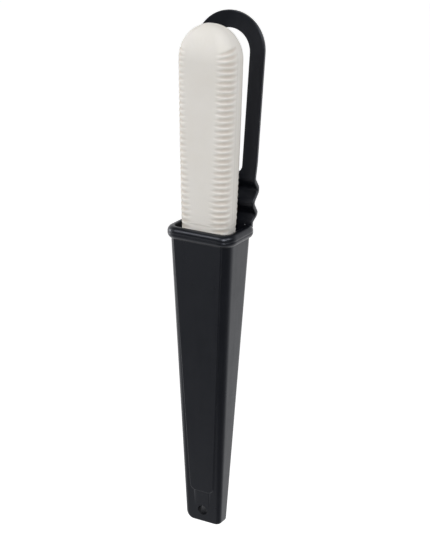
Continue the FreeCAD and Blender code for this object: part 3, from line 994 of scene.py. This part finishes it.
@dataclass(frozen=True)
class ScabbardPlastic(Finish):
    """Black polypropylene, injection moulded in a satin tool.

    The satin tool leaves a low even grain, and the melt leaves faint flow streaks
    that run the length of the wall. Handling leaves dull scuffs and fine scratches.
    A real satin grain and real scratches are finer than 0.2 mm and wouldn't show, so
    they are drawn coarser.
    """

    name: ClassVar[str] = "black_moulded_polypropylene"
    colour: str = "#0b0d12"
    sheen: str = "#eef2ff"
    worn: str = "#1e2022"
    ior: float = 1.49
    roughness: Pair = (0.27, 0.38)
    grain_mm: float = 0.45
    streak_mm: float = 2.6
    scuff_mm: float = 9.0
    scratch_mm: float = 1.1

    def inputs(self, tree: bpy.types.NodeTree) -> Inputs:
        """Add the grain, flow streaks, scuffs and scratches.

        Args:
            tree: the material's node tree.

        Returns:
            Name of each input of the shader to its value or to a node's output.
        """
        place = add_node(tree, "ShaderNodeTexCoord").outputs["Object"]
        long = add_node(tree, "ShaderNodeMapping", {"Vector": place, "Scale": (1.0, 1.0, 0.05)})
        turned = add_node(tree, "ShaderNodeMapping",
                          {"Vector": place, "Rotation": (0.3, 0.25, 0.1),
                           "Scale": (1.0, 1.0, 0.03)})
        streak, scuff, grain, scratch = (
            add_node(tree, "ShaderNodeTexNoise",
                     {"Vector": vector, "Scale": per_metre(size), "Detail": detail,
                      "Roughness": rough}).outputs["Fac"]
            for vector, size, detail, rough in (
                (long.outputs[0], self.streak_mm, 3.0, 0.5), (place, self.scuff_mm, 5.0, 0.62),
                (place, self.grain_mm, 2.0, 0.5), (turned.outputs[0], self.scratch_mm, 1.0, 0.5)))
        line, patch = (
            add_node(tree, "ShaderNodeMapRange",
                     {"Value": value, "From Min": low, "From Max": high}).outputs[0]
            for value, low, high in ((scratch, 0.70, 0.76), (scuff, 0.50, 0.72)))
        both = add_node(tree, "ShaderNodeMath", {0: line, 1: patch}, operation="MULTIPLY")
        worn = add_node(tree, "ShaderNodeMath", {0: both.outputs[0], 1: 0.6},
                        operation="MULTIPLY")
        base = add_node(tree, "ShaderNodeMix",
                        {"Factor": worn.outputs[0], 6: linear(self.colour),
                         7: linear(self.worn)}, data_type="RGBA")
        mixed = add_node(tree, "ShaderNodeMath", {0: streak, 1: scuff}, operation="ADD")
        rough = add_node(tree, "ShaderNodeMapRange",
                         {"Value": mixed.outputs[0], "From Min": 0.7, "From Max": 1.3,
                          "To Min": self.roughness[0], "To Max": self.roughness[1]})
        fine = add_node(tree, "ShaderNodeBump",
                        {"Strength": 0.16, "Distance": 0.05 * MM, "Height": grain})
        flow = add_node(tree, "ShaderNodeBump",
                        {"Strength": 0.35, "Distance": 0.08 * MM, "Height": streak,
                         "Normal": fine.outputs[0]})
        cut = add_node(tree, "ShaderNodeBump",
                       {"Strength": 0.25, "Distance": 0.03 * MM, "Height": both.outputs[0],
                        "Normal": flow.outputs[0]}, invert=True)
        return {"Base Color": base.outputs[2], "Roughness": rough.outputs[0],
                "Normal": cut.outputs[0], "IOR": self.ior, "Specular Tint": linear(self.sheen)}


@dataclass(frozen=True)
class GripPlastic(Finish):
    """Off-white polypropylene from a finely textured mould.

    The texture kills the gloss. Painted shade darkens the colour in the hollows
    of the flutes, deeper where they cut deeper, and a warm cast shows where the plastic is thick.
    A real mould texture is finer than 0.2 mm and wouldn't show, so it is drawn coarser.
    """

    name: ClassVar[str] = "off_white_textured_polypropylene"
    colour: str = "#e3e0db"
    cast: str = "#dad6cf"
    # colour of the painted shade that the flute hollows darken towards
    hollow: str = "#c9bfb4"
    ior: float = 1.49
    roughness: Pair = (0.55, 0.66)
    scatter_mm: Triple = (1.2, 1.1, 0.9)
    texture_mm: float = 0.35
    mottle_mm: float = 14.0

    def inputs(self, tree: bpy.types.NodeTree) -> Inputs:
        """Add the mottle, the moulded texture and the painted shade in the flutes.

        Args:
            tree: the material's node tree.

        Returns:
            Name of each input of the shader to its value or to a node's output.
        """
        place = add_node(tree, "ShaderNodeTexCoord").outputs["Object"]
        mottle, texture = (
            add_node(tree, "ShaderNodeTexNoise",
                     {"Vector": place, "Scale": per_metre(size), "Detail": detail,
                      "Roughness": rough}).outputs["Fac"]
            for size, detail, rough in ((self.mottle_mm, 4.0, 0.5), (self.texture_mm, 3.0, 0.6)))
        pit = add_node(tree, "ShaderNodeTexVoronoi",
                       {"Vector": place, "Scale": per_metre(self.texture_mm * 2.2)})
        body = add_node(tree, "ShaderNodeMix",
                        {"Factor": mottle, 6: linear(self.colour), 7: linear(self.cast)},
                        data_type="RGBA")
        # Painted shade in the flutes: the colour darkens towards the hollow colour by the flute
        # depth stored on the mesh.
        depth = add_node(tree, "ShaderNodeAttribute", attribute_name="hollow")
        shade = add_node(tree, "ShaderNodeMapRange",
                         {"Value": depth.outputs["Fac"], "From Min": 0.15, "From Max": 1.0})
        share = add_node(tree, "ShaderNodeMath", {0: shade.outputs[0], 1: 0.75},
                         operation="MULTIPLY")
        base = add_node(tree, "ShaderNodeMix",
                        {"Factor": share.outputs[0], 6: body.outputs[2],
                         7: linear(self.hollow)}, data_type="RGBA")
        rough = add_node(tree, "ShaderNodeMapRange",
                         {"Value": mottle, "From Min": 0.3, "From Max": 0.7,
                          "To Min": self.roughness[0], "To Max": self.roughness[1]})
        coarse = add_node(tree, "ShaderNodeBump",
                          {"Strength": 0.12, "Distance": 0.05 * MM,
                           "Height": pit.outputs["Distance"]})
        fine = add_node(tree, "ShaderNodeBump",
                        {"Strength": 0.22, "Distance": 0.04 * MM, "Height": texture,
                         "Normal": coarse.outputs[0]})
        return {"Base Color": base.outputs[2], "Roughness": rough.outputs[0],
                "Normal": fine.outputs[0], "IOR": self.ior, "Subsurface Weight": 0.08,
                "Subsurface Radius": tuple(reach * MM for reach in self.scatter_mm),
                "Subsurface Scale": 1.0}


@dataclass(frozen=True)
class GroundSteel(Finish):
    """Stainless strip steel, ground across the blade with a fine belt.

    The belt leaves close parallel lines across the width, which spread a highlight
    along the blade. Real lines are finer than 0.1 mm and wouldn't show, so they are
    drawn coarser.
    """

    name: ClassVar[str] = "belt_ground_stainless_steel"
    colour: str = "#c3c4c6"
    dark: str = "#a4a6a9"
    roughness: Pair = (0.22, 0.36)
    line_mm: float = 0.22
    cloud_mm: float = 12.0

    def inputs(self, tree: bpy.types.NodeTree) -> Inputs:
        """Add the grinding lines and the cloudy changes of gloss.

        Args:
            tree: the material's node tree.

        Returns:
            Name of each input of the shader to its value or to a node's output.
        """
        place = add_node(tree, "ShaderNodeTexCoord").outputs["Object"]
        across = add_node(tree, "ShaderNodeMapping", {"Vector": place, "Scale": (0.03, 1.0, 1.0)})
        lines, cloud = (
            add_node(tree, "ShaderNodeTexNoise",
                     {"Vector": vector, "Scale": per_metre(size), "Detail": detail}).outputs["Fac"]
            for vector, size, detail in (
                (across.outputs[0], self.line_mm, 3.0), (place, self.cloud_mm, 4.0)))
        base = add_node(tree, "ShaderNodeMix",
                        {"Factor": lines, 6: linear(self.colour), 7: linear(self.dark)},
                        data_type="RGBA")
        rough = add_node(tree, "ShaderNodeMapRange",
                         {"Value": cloud, "From Min": 0.3, "From Max": 0.7,
                          "To Min": self.roughness[0], "To Max": self.roughness[1]})
        bump = add_node(tree, "ShaderNodeBump",
                        {"Strength": 0.35, "Distance": 0.01 * MM, "Height": lines})
        return {"Base Color": base.outputs[2], "Roughness": rough.outputs[0],
                "Normal": bump.outputs[0], "Metallic": 1.0, "Anisotropic": 0.5}


@dataclass(frozen=True)
class StudioFloor(Finish):
    """White opal acrylic that glows with painted light behind the object and is left dimmer in
    front.

    The glowing part emits an even white, and the dim part keeps the reflections in the
    front of the object dark.
    """

    name: ClassVar[str] = "opal_acrylic_floor"
    colour: str = "#d6d6d6"
    fibre_mm: float = 3.0
    towards: Pair = (-0.49, 0.87)
    dim_at: float = -0.50
    lit_at: float = 0.22
    glow: Pair = (0.0, 0.85)

    def inputs(self, tree: bpy.types.NodeTree) -> Inputs:
        """Add the faint texture and the painted glow.

        Args:
            tree: the material's node tree.

        Returns:
            Name of each input of the shader to its value or to a node's output.
        """
        place = add_node(tree, "ShaderNodeTexCoord").outputs["Object"]
        fibre = add_node(tree, "ShaderNodeTexNoise",
                         {"Vector": place, "Scale": per_metre(self.fibre_mm), "Detail": 3.0})
        bump = add_node(tree, "ShaderNodeBump",
                        {"Strength": 0.1, "Distance": 0.05 * MM, "Height": fibre.outputs["Fac"]})
        along = add_node(tree, "ShaderNodeVectorMath", {0: place, 1: (*self.towards, 0.0)},
                         operation="DOT_PRODUCT")
        # Painted light: the floor emits, bright behind the object and dim in front of it.
        glow = add_node(tree, "ShaderNodeMapRange",
                        {"Value": along.outputs["Value"], "From Min": self.dim_at,
                         "From Max": self.lit_at, "To Min": self.glow[0],
                         "To Max": self.glow[1]}, interpolation_type="SMOOTHSTEP")
        return {"Normal": bump.outputs[0], "Emission Strength": glow.outputs[0],
                "Emission Color": linear("#ffffff"), "Base Color": linear(self.colour),
                "Roughness": 0.9, "Specular IOR Level": 0.1}


@dataclass(frozen=True)
class Lamp:
    """Soft rectangular lamp; its places are millimetres from the datum."""

    name: str
    place: Triple
    size: Pair
    power: float
    target: Triple = (0.0, 0.0, 0.0)
    spread: float = 40.0


@dataclass
class Studio:
    """Pale floor, soft lights and the camera."""

    datum: Datum
    azimuth: float = 29.498
    elevation: float = 19.186
    roll: float = 0.726
    distance: float = 830.4
    aim: Triple = (3.04, 0.0, -19.97)
    lens: float = 107.46
    sensor: float = 36.0
    clip_end: float = 20.0
    floor_drop: float = 260.0
    floor_half: float = 9000.0
    front_light: float = 0.07
    back_light: float = 1.0
    overhead_share: float = 0.2
    room_turn: Pair = (-0.45, 0.45)
    overhead: Pair = (0.30, 0.75)
    lamps: tuple[Lamp, ...] = (
        Lamp("right_front", (500, -900, 550), (500, 500), 0.54),
        Lamp("left_front", (-500, -900, 900), (600, 600), 0.42),
        Lamp("right_side", (900, -300, 900), (500, 500), 0.40),
        Lamp("left_side", (-1000, -100, 100), (400, 1000), 0.40),
        Lamp("low_card", (-520, -900, -400), (700, 260), 0.022, target=(0, 0, -80)),
    )

    def camera(self) -> None:
        """Place the camera and make it the scene's own."""
        turn, tilt, roll = (math.radians(v) for v in (self.azimuth, self.elevation, self.roll))
        back = Vector((math.sin(turn) * math.cos(tilt), -math.cos(turn) * math.cos(tilt),
                       math.sin(tilt)))
        level = Vector((math.cos(turn), math.sin(turn), 0.0))
        rise = back.cross(level)
        right = math.cos(roll) * level + math.sin(roll) * rise
        up = back.cross(right)
        place = Vector(self.datum.to_row(np.array(self.aim))) + back * self.distance * MM
        data = bpy.data.cameras.new("camera")
        data.lens = self.lens
        data.sensor_fit = "VERTICAL"
        data.sensor_height = self.sensor
        data.clip_end = self.clip_end
        camera = bpy.data.objects.new("camera", data)
        turned = Matrix((right, up, back)).transposed().to_4x4()
        camera.matrix_world = Matrix.Translation(place) @ turned
        bpy.context.scene.collection.objects.link(camera)
        bpy.context.scene.camera = camera

    def light(self, lamp: Lamp) -> None:
        """Hang one lamp so that it faces its target.

        Args:
            lamp: the lamp to hang.
        """
        data = bpy.data.lights.new(lamp.name, "AREA")
        data.shape = "RECTANGLE"
        data.size, data.size_y = (value * MM for value in lamp.size)
        data.energy = lamp.power
        data.spread = math.radians(lamp.spread)
        hung = bpy.data.objects.new(lamp.name, data)
        start, end = (Vector(self.datum.to_row(np.array(point, float)))
                      for point in (lamp.place, lamp.target))
        hung.location = start
        hung.rotation_euler = (end - start).to_track_quat("-Z", "Y").to_euler()
        bpy.context.scene.collection.objects.link(hung)

    def room(self) -> None:
        """Light the room: bright behind the object, dim in front of it and overhead."""
        world = bpy.data.worlds.new("white_room")
        world.use_nodes = True
        tree = world.node_tree
        place = add_node(tree, "ShaderNodeTexCoord").outputs["Generated"]
        axes = add_node(tree, "ShaderNodeSeparateXYZ", {0: place})
        along = add_node(tree, "ShaderNodeVectorMath", {0: place, 1: (*StudioFloor.towards, 0.0)},
                         operation="DOT_PRODUCT")
        glow = add_node(tree, "ShaderNodeMapRange",
                        {"Value": along.outputs["Value"], "From Min": self.room_turn[0],
                         "From Max": self.room_turn[1], "To Min": self.front_light,
                         "To Max": self.back_light}, interpolation_type="SMOOTHSTEP")
        fall = add_node(tree, "ShaderNodeMapRange",
                        {"Value": axes.outputs["Z"], "From Min": self.overhead[0],
                         "From Max": self.overhead[1], "To Min": 1.0,
                         "To Max": self.overhead_share}, interpolation_type="SMOOTHSTEP")
        strength = add_node(tree, "ShaderNodeMath", {0: glow.outputs[0], 1: fall.outputs[0]},
                            operation="MULTIPLY")
        background = tree.nodes["Background"]
        background.inputs["Color"].default_value = linear("#ffffff")
        tree.links.new(strength.outputs[0], background.inputs["Strength"])
        bpy.context.scene.world = world

    def floor(self) -> None:
        """Lay the floor well below the hanging tip."""
        half = self.floor_half
        level = Sheath.low - self.floor_drop
        corners = np.array([(-half, -half, level), (half, -half, level),
                            (half, half, level), (-half, half, level)])
        mesh = bpy.data.meshes.new("floor")
        mesh.from_pydata(self.datum.to_row(corners).tolist(), [], [(0, 1, 2, 3)])
        floor = bpy.data.objects.new("floor", mesh)
        bpy.context.scene.collection.objects.link(floor)
        floor.data.materials.append(StudioFloor().build())


def dress(piece: bpy.types.Object, material: bpy.types.Material) -> None:
    """Give a piece its finish and log its face count and the finish's name.

    Args:
        piece: the piece to dress.
        material: its material.
    """
    piece.data.materials.clear()
    piece.data.materials.append(material)
    log.info("%s: %d faces, %s", piece.name, len(piece.data.polygons), material.name)


def main() -> None:
    """Build the pieces in order, from the mouth outwards, then the studio."""
    logging.basicConfig(level=logging.INFO, format="%(name)s: %(message)s")
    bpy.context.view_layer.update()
    datum = Datum.from_frame(Sheath.half_bead)
    black = ScabbardPlastic().build()
    white = GripPlastic().build()
    steel = GroundSteel().build()

    shell = Sheath(datum).build()
    dress(shell, black)
    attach(shell, "scabbard")
    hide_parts("sheath_body")

    strap = Strap(datum).build()
    dress(strap, black)
    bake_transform(strap)
    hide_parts("flex_neck", "belt_loop")

    grip = Grip(datum).build()
    dress(grip, white)
    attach(grip, "tool")
    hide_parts("ribbed_grip")

    blade = Blade(datum).build()
    dress(blade, steel)
    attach(blade, "tool")
    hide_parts("blade_and_tang")

    studio = Studio(datum)
    studio.camera()
    for lamp in studio.lamps:
        studio.light(lamp)
    studio.room()
    studio.floor()
    bpy.context.scene.view_settings.view_transform = "Standard"


if __name__ == "__main__":
    main()
